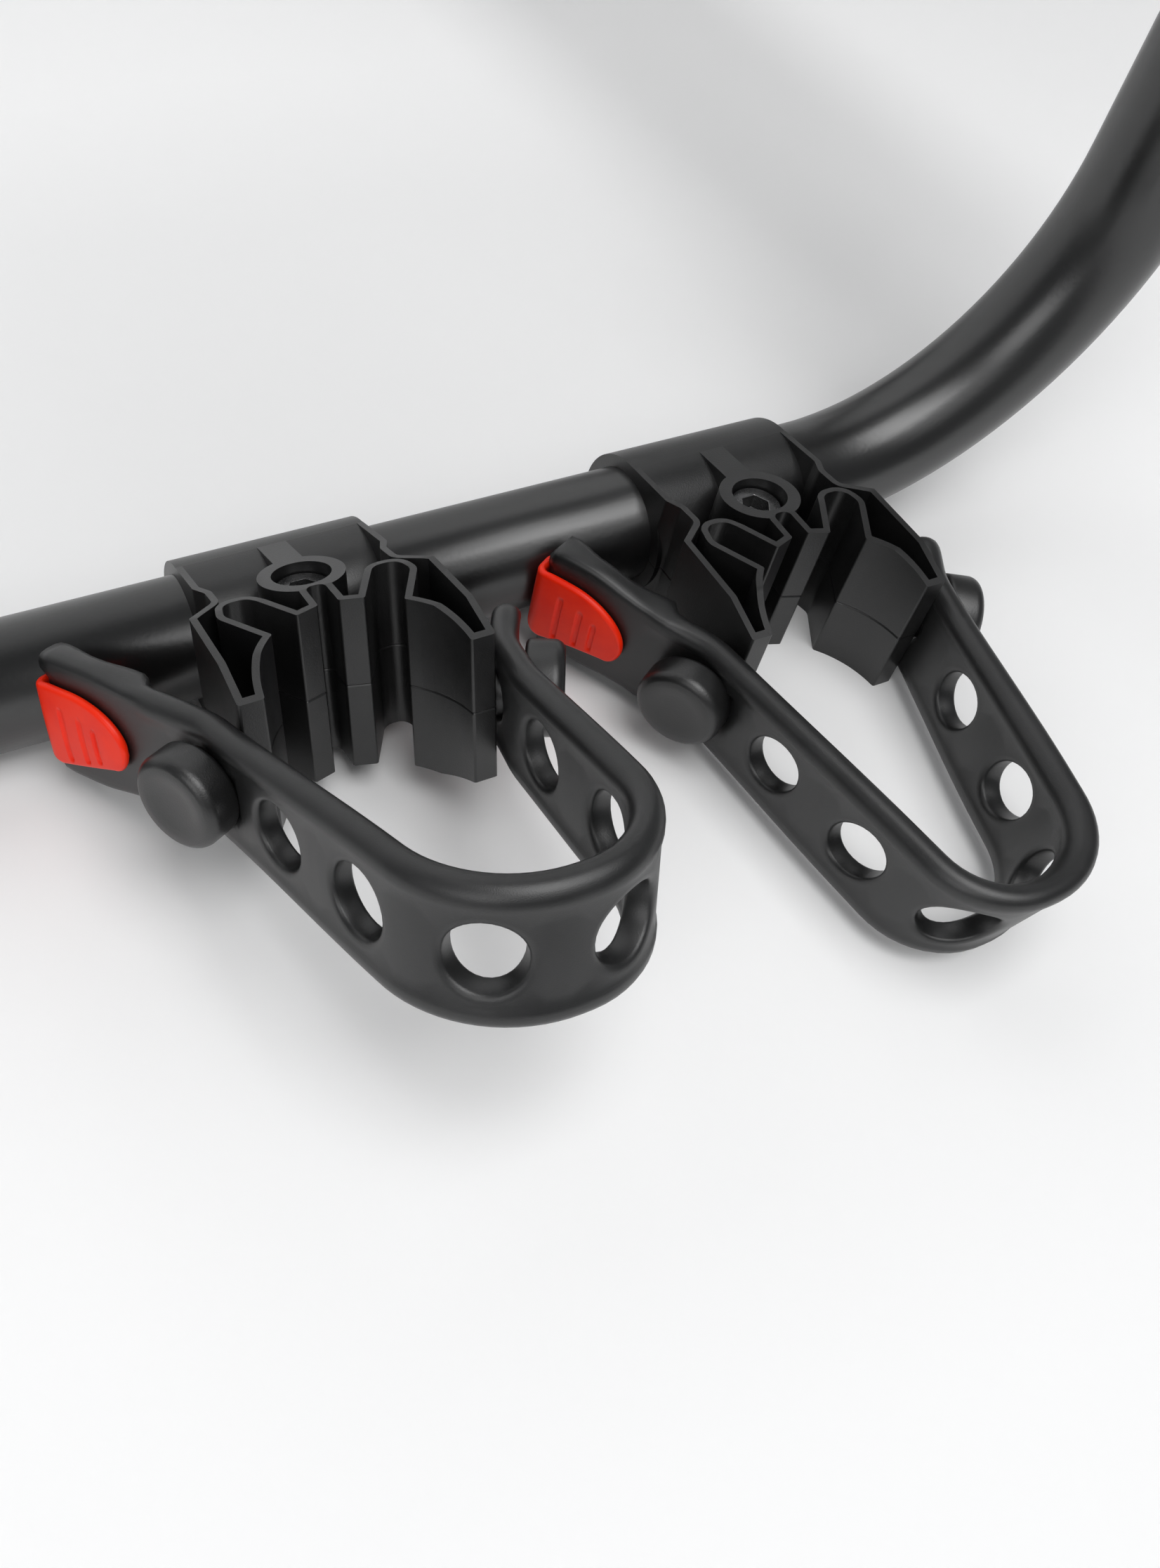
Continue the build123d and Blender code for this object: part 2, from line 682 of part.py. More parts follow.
def main():
    """Write every sub-part."""
    write("shank_tube", shank_tube())
    write("shank_cap", Pos(shank_ahead, 0, 0) * Rot(0, 90, 0) * square_cap(shank_side, shank_wall, shank_corner))
    write("base_plates", base_plates())
    write("mast_tube", mast_tube())
    mast_top = fold_pivot_z + mast_above_pivot
    write("mast_cap", Pos(mast_x, 0, mast_top) * square_cap(mast_side, mast_wall, mast_corner))
    write("carrying_tube", carrying_tube())
    write("arm_end_caps", arm_end_caps())
    write("head_plates", head_plates())
    for name, z, outside in (("tilt", 0, base_out), ("fold", fold_pivot_z, head_out)):
        bolt, nut, washers = pivot_set(z, outside)
        write(name + "_pivot_bolt", bolt)
        write(name + "_pivot_nut", nut)
        write(name + "_pivot_washers", washers)
        write(name + "_bush", bush(z))
    clamps = (("tilt", base_slot_r, base_out), ("fold", fold_pivot_z - head_slot_r, head_out))
    for name, z, outside in clamps:
        bolt, washers, hand_knob = clamp_set(z, outside)
        write(name + "_clamp_bolt", bolt)
        write(name + "_clamp_washers", washers)
        write(name + "_knob", hand_knob)
    bolt, washer, lock, nut = hitch_bolt_set()
    write("hitch_bolt", bolt)
    write("hitch_washer", washer)
    write("hitch_lock_washer", lock)
    write("hitch_nut", nut)
    body = cradle_body()
    for side, y in (("right", -arm_y), ("left", arm_y)):
        write_cradle("front_" + side, body, front_cradle_x, y, front_lean, front_loop)
        write_cradle("rear_" + side, body, rear_cradle_x, y, rear_lean, rear_loop)


main()
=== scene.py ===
import json
import logging
import math
from dataclasses import dataclass, field
from enum import Enum
from typing import Optional, Union

import bmesh
import bpy
from bmesh.types import BMEdge, BMesh, BMFace, BMVert
from mathutils import Matrix, Vector

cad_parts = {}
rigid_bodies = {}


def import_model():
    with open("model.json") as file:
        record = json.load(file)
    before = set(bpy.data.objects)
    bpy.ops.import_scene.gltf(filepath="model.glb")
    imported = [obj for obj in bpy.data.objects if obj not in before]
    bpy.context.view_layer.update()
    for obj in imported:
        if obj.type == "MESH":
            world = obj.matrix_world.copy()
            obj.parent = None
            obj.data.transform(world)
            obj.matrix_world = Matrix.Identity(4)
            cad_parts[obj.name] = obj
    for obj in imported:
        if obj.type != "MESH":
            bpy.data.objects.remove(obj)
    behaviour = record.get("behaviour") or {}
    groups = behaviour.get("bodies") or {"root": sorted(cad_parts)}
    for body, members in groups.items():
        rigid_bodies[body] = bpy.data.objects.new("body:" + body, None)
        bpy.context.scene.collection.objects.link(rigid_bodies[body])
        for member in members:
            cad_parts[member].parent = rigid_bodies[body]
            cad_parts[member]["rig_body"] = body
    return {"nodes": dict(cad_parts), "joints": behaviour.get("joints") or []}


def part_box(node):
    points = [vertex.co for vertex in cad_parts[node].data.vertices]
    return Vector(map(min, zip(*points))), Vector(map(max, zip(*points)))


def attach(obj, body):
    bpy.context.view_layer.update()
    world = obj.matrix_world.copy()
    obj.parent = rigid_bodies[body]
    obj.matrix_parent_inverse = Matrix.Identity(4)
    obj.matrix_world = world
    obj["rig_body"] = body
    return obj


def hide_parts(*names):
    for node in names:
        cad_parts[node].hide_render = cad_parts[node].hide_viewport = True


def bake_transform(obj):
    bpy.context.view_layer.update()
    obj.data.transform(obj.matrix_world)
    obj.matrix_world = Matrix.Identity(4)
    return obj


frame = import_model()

LOG = logging.getLogger("bike_rack")
MM = 0.001
Pair = tuple[float, float]
Triple = tuple[float, float, float]
Colour = Triple


class Shade:
    """A number or colour socket whose operators add Math nodes."""

    def __init__(self, graph: "Graph", socket: bpy.types.NodeSocket) -> None:
        """Keep the graph and the socket."""
        self.graph = graph
        self.socket = socket

    def _math(self, operation: str, first: "Value", second: "Value") -> "Shade":
        """Add a Math node.

        Args:
            operation: the node's operation.
            first: its first value.
            second: its second value.

        Returns:
            The node's output.
        """
        return self.graph.node("ShaderNodeMath", {"operation": operation}, {0: first, 1: second})

    def __add__(self, other: "Value") -> "Shade":
        """Sum."""
        return self._math("ADD", self, other)

    __radd__ = __add__

    def __mul__(self, other: "Value") -> "Shade":
        """Product."""
        return self._math("MULTIPLY", self, other)

    __rmul__ = __mul__

    def clamped(self, low: float, high: float) -> "Shade":
        """Map low to high onto 0 to 1 and clamp it.

        Args:
            low: value that becomes 0.
            high: value that becomes 1.

        Returns:
            The mapped socket.
        """
        settings = {"clamp": True, "interpolation_type": "SMOOTHSTEP"}
        inputs = {"Value": self, "From Min": low, "From Max": high}
        return self.graph.node("ShaderNodeMapRange", settings, inputs)


Value = Union[Shade, float]


class Graph:
    """A material and the nodes that are added to it."""

    def __init__(self, name: str) -> None:
        """Make an empty node material."""
        self.material = bpy.data.materials.new(name)
        self.material.use_nodes = True
        self.material.node_tree.nodes.clear()

    def node(self, kind: str, settings: Optional[dict] = None, inputs: Optional[dict] = None,
             output: Union[int, str] = 0) -> Shade:
        """Add a node.

        Args:
            kind: the node's type.
            settings: its settings, which are set first.
            inputs: socket names or numbers with their values or links.
            output: which output is wanted.

        Returns:
            The chosen output.
        """
        made = self.material.node_tree.nodes.new(kind)
        for key, value in (settings or {}).items():
            setattr(made, key, value)
        for key, value in (inputs or {}).items():
            if isinstance(value, Shade):
                self.material.node_tree.links.new(value.socket, made.inputs[key])
            else:
                made.inputs[key].default_value = value
        return Shade(self, made.outputs[output])

    def noise(self, scale: float, detail: float, gain: float) -> Shade:
        """Noise by object coordinates.

        Args:
            scale: cycles per metre.
            detail: octaves.
            gain: share of each further octave.

        Returns:
            A value round 0.5.
        """
        place = self.node("ShaderNodeTexCoord", output="Object")
        inputs = {"Vector": place, "Scale": scale, "Detail": detail, "Roughness": gain}
        return self.node("ShaderNodeTexNoise", None, inputs)

    def mix(self, share: Value, first: Colour, second: Colour) -> Shade:
        """Blend two colours.

        Args:
            share: 0 for the first, 1 for the second.
            first: linear colour.
            second: linear colour.

        Returns:
            The blended colour.
        """
        inputs = {0: share, 6: (*first, 1.0), 7: (*second, 1.0)}
        return self.node("ShaderNodeMix", {"data_type": "RGBA"}, inputs, output=2)

    def bump(self, height: Shade, depth: float, strength: float) -> Shade:
        """Bump from a height.

        Args:
            height: value from 0 to 1.
            depth: what 1 means, in metres.
            strength: share that shows.

        Returns:
            The normal.
        """
        return self.node("ShaderNodeBump", None, {"Height": height, "Distance": depth, "Strength": strength})

    def surface(self, shader: Shade) -> bpy.types.Material:
        """Finish the material with its shader.

        Args:
            shader: the output of the last shader node.

        Returns:
            The material.
        """
        out = self.material.node_tree.nodes.new("ShaderNodeOutputMaterial")
        self.material.node_tree.links.new(shader.socket, out.inputs["Surface"])
        return self.material


@dataclass(frozen=True)
class Coat:
    """What all finishes have: broad clouds of tone and gloss with a fine grain in relief."""

    name: str
    dark: Colour
    light: Colour
    rough: float
    rough_spread: float
    grain: float
    grain_detail: float = 2.0
    grain_gain: float = 0.5
    grain_depth: float = 0.02 * MM
    grain_strength: float = 0.5
    grain_rough: float = 0.05
    cloud: float = 80.0
    cloud_detail: float = 3.0
    cloud_gain: float = 0.6
    dark_below: float = 0.3
    light_above: float = 0.7
    metallic: float = 0.0
    specular: float = 0.5

    def material(self) -> bpy.types.Material:
        """Build the finish.

        Returns:
            The material.
        """
        graph = Graph(self.name)
        fine = graph.noise(self.grain, self.grain_detail, self.grain_gain)
        broad = graph.noise(self.cloud, self.cloud_detail, self.cloud_gain)
        smoothest = self.rough - self.rough_spread / 2
        shader = graph.node("ShaderNodeBsdfPrincipled", None, {
            "Base Color": graph.mix(broad.clamped(self.dark_below, self.light_above), self.dark, self.light),
            "Metallic": self.metallic,
            "Roughness": broad * self.rough_spread + smoothest + fine * self.grain_rough,
            "Normal": graph.bump(fine, self.grain_depth, self.grain_strength),
            "Specular IOR Level": self.specular,
        })
        return graph.surface(shader)


@dataclass(frozen=True)
class PowderCoat(Coat):
    """Satin black powder coat on the steel tubes and plates."""

    name: str = "black_powder_coat"
    dark: Colour = (0.005, 0.005, 0.0052)
    light: Colour = (0.008, 0.008, 0.0082)
    rough: float = 0.29
    rough_spread: float = 0.04
    grain: float = 700.0
    grain_gain: float = 0.4
    grain_depth: float = 0.03 * MM
    grain_strength: float = 0.8
    grain_rough: float = 0.02
    cloud: float = 18.0
    cloud_detail: float = 2.0
    cloud_gain: float = 0.5
    dark_below: float = 0.35
    specular: float = 0.9


@dataclass(frozen=True)
class MouldedPlastic(Coat):
    """Fine textured black plastic of the cradles, caps and knobs."""

    name: str = "cradle_plastic"
    dark: Colour = (0.005, 0.005, 0.0052)
    light: Colour = (0.009, 0.009, 0.0092)
    rough: float = 0.36
    rough_spread: float = 0.14
    grain: float = 2200.0
    grain_gain: float = 0.6
    grain_depth: float = 0.07 * MM
    grain_strength: float = 0.7
    cloud: float = 45.0
    dark_below: float = 0.35
    specular: float = 0.75


@dataclass(frozen=True)
class StrapRubber(Coat):
    """Satin dark grey rubber of the straps."""

    name: str = "strap_rubber"
    dark: Colour = (0.008, 0.0081, 0.0084)
    light: Colour = (0.0135, 0.0137, 0.0141)
    rough: float = 0.35
    rough_spread: float = 0.16
    grain: float = 3200.0
    grain_gain: float = 0.7
    grain_depth: float = 0.06 * MM
    grain_strength: float = 0.7
    grain_rough: float = 0.06
    cloud: float = 60.0
    cloud_detail: float = 4.0
    light_above: float = 0.75
    specular: float = 0.65


@dataclass(frozen=True)
class ZincPlate(Coat):
    """Bright zinc plated steel of the bolts, nuts and washers."""

    name: str = "zinc_steel"
    dark: Colour = (0.42, 0.43, 0.45)
    light: Colour = (0.66, 0.67, 0.68)
    rough: float = 0.3
    rough_spread: float = 0.2
    grain: float = 1400.0
    cloud: float = 90.0
    metallic: float = 1.0


@dataclass(frozen=True)
class BlackOxide(Coat):
    """Black oxide steel of the bolts sunk in the cradles."""

    name: str = "black_steel"
    dark: Colour = (0.12, 0.12, 0.122)
    light: Colour = (0.22, 0.22, 0.222)
    rough: float = 0.255
    rough_spread: float = 0.15
    grain: float = 1600.0
    cloud: float = 120.0
    metallic: float = 0.9


@dataclass(frozen=True)
class RedPlastic(Coat):
    """Semi gloss orange red plastic of the pull tabs."""

    name: str = "tab_red"
    dark: Colour = (0.88, 0.018, 0.002)
    light: Colour = (0.96, 0.028, 0.003)
    rough: float = 0.35
    rough_spread: float = 0.1
    grain: float = 1800.0
    grain_strength: float = 0.4
    grain_rough: float = 0.04
    specular: float = 0.3


class Finish(Enum):
    """The rack's finishes."""

    STEEL = PowderCoat()
    CRADLE = MouldedPlastic()
    CAP = MouldedPlastic(name="cap_plastic", rough=0.5)
    KNOB = MouldedPlastic(name="knob_plastic", rough=0.52, grain=1500.0, grain_depth=0.09 * MM)
    RUBBER = StrapRubber()
    ZINC = ZincPlate()
    BLACK_STEEL = BlackOxide()
    RED = RedPlastic()


class Paint:
    """Makes each finish's material once."""

    def __init__(self) -> None:
        """Start with no materials."""
        self.made: dict[Finish, bpy.types.Material] = {}

    def dress(self, piece: bpy.types.Object, finish: Finish) -> None:
        """Give a piece its material and its slot's name.

        Args:
            piece: the object to dress.
            finish: which finish it takes.
        """
        if finish not in self.made:
            self.made[finish] = finish.value.material()
        piece.data.materials.clear()
        piece.data.materials.append(self.made[finish])


PAINT = Paint()


def smoothstep(value: float, low: float, high: float) -> float:
    """Ease from 0 to 1.

    Args:
        value: where on the way.
        low: value that gives 0.
        high: value that gives 1.

    Returns:
        The eased share.
    """
    t = min(max((value - low) / (high - low), 0.0), 1.0)
    return t * t * (3 - 2 * t)


def rounding(near: float, radius: float) -> float:
    """Share of the full height at a distance from a rim that is rounded by a quarter circle.

    Args:
        near: distance from the rim.
        radius: how far the rounding reaches.

    Returns:
        0 at the rim, and 1 from the radius on.
    """
    if near >= radius:
        return 1.0
    return math.sqrt(max(0.0, 1.0 - (1.0 - near / radius) ** 2))


def arc_points(centre: Pair, radius: float, start: float, end: float, steps: int) -> list[Pair]:
    """Points along an arc of a turned profile.

    Args:
        centre: its centre.
        radius: its radius.
        start: first angle in degrees.
        end: last angle in degrees.
        steps: how many chords it has.

    Returns:
        The points, both ends included.
    """
    angles = [math.radians(start + (end - start) * k / steps) for k in range(steps + 1)]
    return [(centre[0] + radius * math.cos(a), centre[1] + radius * math.sin(a)) for a in angles]


def in_metres(points: tuple[Pair, ...]) -> list[Pair]:
    """Turn points in millimetres into metres."""
    return [(first * MM, second * MM) for first, second in points]


def grow(shape: BMesh, loop: list) -> tuple[list, list]:
    """Extrude an edge loop in place.

    Args:
        shape: the bmesh.
        loop: the loop's edges.

    Returns:
        The new loop's vertices and edges.
    """
    made = bmesh.ops.extrude_edge_only(shape, edges=loop)["geom"]
    verts = [g for g in made if isinstance(g, BMVert)]
    fresh = set(verts)
    edges = [g for g in made if isinstance(g, BMEdge) and all(v in fresh for v in g.verts)]
    return verts, edges


def back_to_back(shape: BMesh) -> set[BMVert]:
    """Double an open sheet and turn the copy round.

    Args:
        shape: the sheet.

    Returns:
        The copy's vertices.
    """
    copy = bmesh.ops.duplicate(shape, geom=shape.verts[:] + shape.edges[:] + shape.faces[:])
    bmesh.ops.reverse_faces(shape, faces=[g for g in copy["geom"] if isinstance(g, BMFace)])
    return {g for g in copy["geom"] if isinstance(g, BMVert)}


def close_up(shape: BMesh, gap: float) -> None:
    """Join the vertices that meet and turn all faces outwards.

    Args:
        shape: the bmesh.
        gap: vertices nearer than this are joined.
    """
    bmesh.ops.remove_doubles(shape, verts=shape.verts, dist=gap)
    bmesh.ops.recalc_face_normals(shape, faces=shape.faces)


def add_piece(name: str, shape: BMesh, finish: Finish, sharp: float = 60.0) -> bpy.types.Object:
    """Turn a bmesh into a dressed object at the origin.

    Args:
        name: the piece's name.
        shape: the bmesh, which is freed.
        finish: its finish.
        sharp: edges turned by more than this many degrees stay sharp.

    Returns:
        The object.
    """
    mesh = bpy.data.meshes.new(name)
    shape.to_mesh(mesh)
    shape.free()
    for face in mesh.polygons:
        face.use_smooth = True
    mesh.set_sharp_from_angle(angle=math.radians(sharp))
    piece = bpy.data.objects.new(name, mesh)
    bpy.context.scene.collection.objects.link(piece)
    PAINT.dress(piece, finish)
    return piece


@dataclass
class SoftenedNode:
    """A CAD node with its sharp edges broken, as a moulding or a machined piece has them."""

    node: str
    finish: Finish
    edge: float
    segments: int = 2
    parting: Optional[Matrix] = None
    weld: float = 0.002 * MM
    flat_degrees: float = 0.6
    edge_degrees: float = 28.0
    groove_width: float = 0.45 * MM
    groove_depth: float = 0.25 * MM
    cut_gap: float = 0.001 * MM
    on_plane: float = 0.02 * MM
    steep: float = 0.7

    def build(self) -> bpy.types.Object:
        """Copy the node, merge it, bevel its edges and let the copy stand for it.

        Returns:
            The new piece.
        """
        source = frame["nodes"][self.node]
        shape = bmesh.new()
        shape.from_mesh(source.data)
        bmesh.ops.remove_doubles(shape, verts=shape.verts, dist=self.weld)
        bmesh.ops.dissolve_limit(shape, angle_limit=math.radians(self.flat_degrees), verts=shape.verts,
                                 edges=shape.edges)
        if self.parting:
            self._groove(shape, self.parting)
        piece = add_piece(self.node + "_shape", shape, self.finish, sharp=180.0)
        bevel = piece.modifiers.new("edges", "BEVEL")
        bevel.width = self.edge
        bevel.segments = self.segments
        bevel.limit_method = "ANGLE"
        bevel.angle_limit = math.radians(self.edge_degrees)
        bevel.use_clamp_overlap = True
        bevel.miter_outer = "MITER_ARC"
        weighted = piece.modifiers.new("normals", "WEIGHTED_NORMAL")
        weighted.keep_sharp = True
        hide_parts(self.node)
        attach(piece, source["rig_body"])
        return piece

    def _groove(self, shape: BMesh, place: Matrix) -> None:
        """Cut a fine groove along the parting plane, where two moulded halves meet.

        Args:
            shape: the half's mesh.
            place: the cradle's axes, whose XZ plane parts the halves.
        """
        back = place.inverted()
        middle = back @ (sum((v.co for v in shape.verts), Vector()) / len(shape.verts))
        side = math.copysign(1.0, middle.y)
        across = place.to_3x3() @ Vector((0.0, side, 0.0))
        cut = place @ Vector((0.0, side * self.groove_width, 0.0))
        bmesh.ops.bisect_plane(shape, geom=shape.verts[:] + shape.edges[:] + shape.faces[:],
                               dist=self.cut_gap, plane_co=cut, plane_no=across)
        shape.normal_update()
        moves = []
        for vert in shape.verts:
            if abs((back @ vert.co).y) < self.on_plane:
                outward = [f.normal for f in vert.link_faces if abs(f.normal.dot(across)) < self.steep]
                if outward:
                    moves.append((vert, sum(outward, Vector()).normalized()))
        for vert, outward in moves:
            vert.co -= outward * self.groove_depth


@dataclass
class FilletPath:
    """Straight runs joined by tangent arcs, in the XZ plane."""

    corners: list[Pair]
    radii: list[float]
    spans: list[tuple] = field(default_factory=list)
    length: float = 0.0

    def __post_init__(self) -> None:
        """Work out the runs and arcs."""
        points = [Vector((x, z)) for x, z in self.corners]
        begin = points[0]
        for corner, after, radius in zip(points[1:-1], points[2:], self.radii):
            heading = (corner - begin).normalized()
            leaving = (after - corner).normalized()
            turn = heading.angle_signed(leaving)
            reach = radius * math.tan(abs(turn) / 2)
            bend_start = corner - heading * reach
            self._run(begin, bend_start)
            self.spans.append((self.length, bend_start, heading, radius, turn))
            self.length += radius * abs(turn)
            begin = corner + leaving * reach
        self._run(begin, points[-1])

    def _run(self, start: Vector, end: Vector) -> None:
        """Add a straight run."""
        self.spans.append((self.length, start, (end - start).normalized(), 0.0, 0.0))
        self.length += (end - start).length

    def at(self, along: float) -> tuple[Vector, Vector]:
        """Place and heading at a length along the path.

        Args:
            along: length from the path's start.

        Returns:
            The point and the unit heading, both in the XZ plane.
        """
        chosen = self.spans[0]
        for span in self.spans:
            if span[0] <= along:
                chosen = span
        begin, start, heading, radius, turn = chosen
        ahead = along - begin
        if radius == 0.0:
            spot, way = start + heading * ahead, heading
        else:
            side = 1.0 if turn > 0 else -1.0
            swing = Matrix.Rotation(-ahead / radius * side, 2)
            centre = start + Vector((heading.y, -heading.x)) * side * radius
            spot, way = centre + swing @ (start - centre), swing @ heading
        return Vector((spot.x, 0.0, spot.y)), Vector((way.x, 0.0, way.y))


@dataclass
class Cradle:
    """One cradle: its place on the arm, its mouldings, its bolt and its mushroom pegs."""

    name: str
    tube_r: float = 19.0 * MM
    wall_x: float = 35.1 * MM
    lobe_z: float = 77.2 * MM
    lobe_half: float = 26.0 * MM
    half_edge: float = 0.45 * MM
    bolt_edge: float = 0.3 * MM
    peg_tilt: float = 31.0
    foot_z: float = 65.6 * MM
    head_r: float = 13.5 * MM
    head_low: float = 13.0 * MM
    head_top: float = 24.0 * MM
    low_rim: float = 1.6 * MM
    top_rim: float = 3.4 * MM
    top_turn: float = 72.0
    # A peg's outline as radius and height over the wall, in millimetres
    root: tuple[Pair, ...] = ((0.0, -4.0), (4.3, -4.0), (4.5, -3.6), (4.5, 0.8))
    stem: tuple[Pair, ...] = ((8.6, 0.8), (8.1, 1.8), (8.0, 11.0), (8.5, 12.4), (9.6, 13.0))
    dish: tuple[Pair, ...] = ((8.9, 23.85), (7.0, 23.45), (4.0, 23.05), (0.0, 22.9))
    around: int = 48
    weld: float = 0.005 * MM
    gap: float = 0.25 * MM

    def joint(self, kind: str) -> dict:
        """The frame's joint of this cradle of that kind."""
        return next(j for j in frame["joints"] if j["name"] == self.name + kind)

    def matrix(self) -> Matrix:
        """From the cradle's own axes to the rack's."""
        pull = Vector(self.joint("_strap_release")["axis"])
        lean = -math.atan2(pull.y, pull.z)
        return Matrix.Translation(self.joint("_swivel")["pos_m"]) @ Matrix.Rotation(lean, 4, "X")

    def peg_axis(self, side: int) -> Vector:
        """Unit axis of a peg, outwards; side is 1 in front and -1 behind."""
        tilt = math.radians(self.peg_tilt)
        return Vector((side * math.cos(tilt), 0.0, math.sin(tilt)))

    def peg_foot(self, side: int) -> Vector:
        """Where a peg's axis leaves the wall."""
        return Vector((side * self.wall_x, 0.0, self.foot_z))

    def peg_spot(self, side: int, out: float, down: float = 0.0) -> Vector:
        """Point by a peg.

        Args:
            side: 1 in front and -1 behind.
            out: distance from the wall along the peg.
            down: distance across the peg, away from the loop.

        Returns:
            The point in the cradle's axes.
        """
        axis = self.peg_axis(side)
        across = Vector((side * axis.z, 0.0, -abs(axis.x)))
        return self.peg_foot(side) + axis * out + across * down

    def keep_clear(self, spot: Vector) -> Vector:
        """Press rubber back where the tube, the lobes or the peg heads stand.

        Args:
            spot: a point of the strap in the cradle's axes.

        Returns:
            The point, moved where something is in its way.
        """
        around_tube = self.tube_r + 2 * self.gap
        if math.hypot(spot.y, spot.z) < around_tube:
            spot = Vector((spot.x, spot.y, math.sqrt(max(0.0, around_tube ** 2 - spot.y ** 2))))
        wall = self.wall_x + self.gap
        if spot.z < self.lobe_z + self.gap and abs(spot.x) < wall and abs(spot.y) < self.lobe_half:
            spot = Vector((math.copysign(wall, spot.x), spot.y, spot.z))
        side = 1 if spot.x > 0 else -1
        axis = self.peg_axis(side)
        foot = self.peg_foot(side)
        out = (spot - foot).dot(axis)
        away = (spot - foot - axis * out).length
        if self.head_low - self.gap < out < self.head_top and away < self.head_r + self.gap:
            spot = spot - axis * (out - self.head_low + self.gap)
        return spot

    def build(self) -> None:
        """Build the mouldings, the cross bolt with its nut, and the pegs."""
        for half in ("_cradle_left_half", "_cradle_right_half"):
            SoftenedNode(self.name + half, Finish.CRADLE, self.half_edge, parting=self.matrix()).build()
        SoftenedNode(self.name + "_cradle_bolt", Finish.BLACK_STEEL, self.bolt_edge).build()
        SoftenedNode(self.name + "_cradle_nut", Finish.ZINC, self.bolt_edge).build()
        self.build_pegs()

    def build_pegs(self) -> bpy.types.Object:
        """Turn both mushroom pegs and let them stand for the CAD pair.

        Returns:
            The pegs.
        """
        r, low_rim, top_rim = self.head_r, self.low_rim, self.top_rim
        profile = in_metres(self.root + self.stem)
        profile += arc_points((r - low_rim, self.head_low + low_rim), low_rim, -90.0, 0.0, 5)
        profile += arc_points((r - top_rim, self.head_top - top_rim), top_rim, 0.0, self.top_turn, 8)
        profile += in_metres(self.dish)
        shape = bmesh.new()
        for side in (-1, 1):
            turn = self.peg_axis(side).to_track_quat("Z", "Y").to_matrix().to_4x4()
            place = self.matrix() @ Matrix.Translation(self.peg_foot(side)) @ turn
            verts = [shape.verts.new(place @ Vector((radius, 0.0, height))) for radius, height in profile]
            edges = [shape.edges.new(pair) for pair in zip(verts, verts[1:])]
            spindle = place.to_3x3() @ Vector((0.0, 0.0, 1.0))
            bmesh.ops.spin(shape, geom=verts + edges, cent=place.translation, axis=spindle, angle=2 * math.pi,
                           steps=self.around, use_merge=True)
        close_up(shape, self.weld)
        piece = add_piece(self.name + "_pegs", shape, Finish.CRADLE, sharp=50.0)
        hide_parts(self.name + "_strap_pegs")
        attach(piece, "cradle_" + self.name)
        return piece


@dataclass(frozen=True)
class Row:
    """How the straps of the front or the rear pair of cradles hang, as the photograph shows them."""

    name: str
    # The loop's bends as (x, z) and radius, and how far each hole is off its even pitch, in millimetres
    bends: tuple[tuple[Pair, float], ...]
    creep: tuple[float, ...]
    crown_slope: float
    tab: float
    sway: float
    nose: float
    nose_reach: float
    nub: float


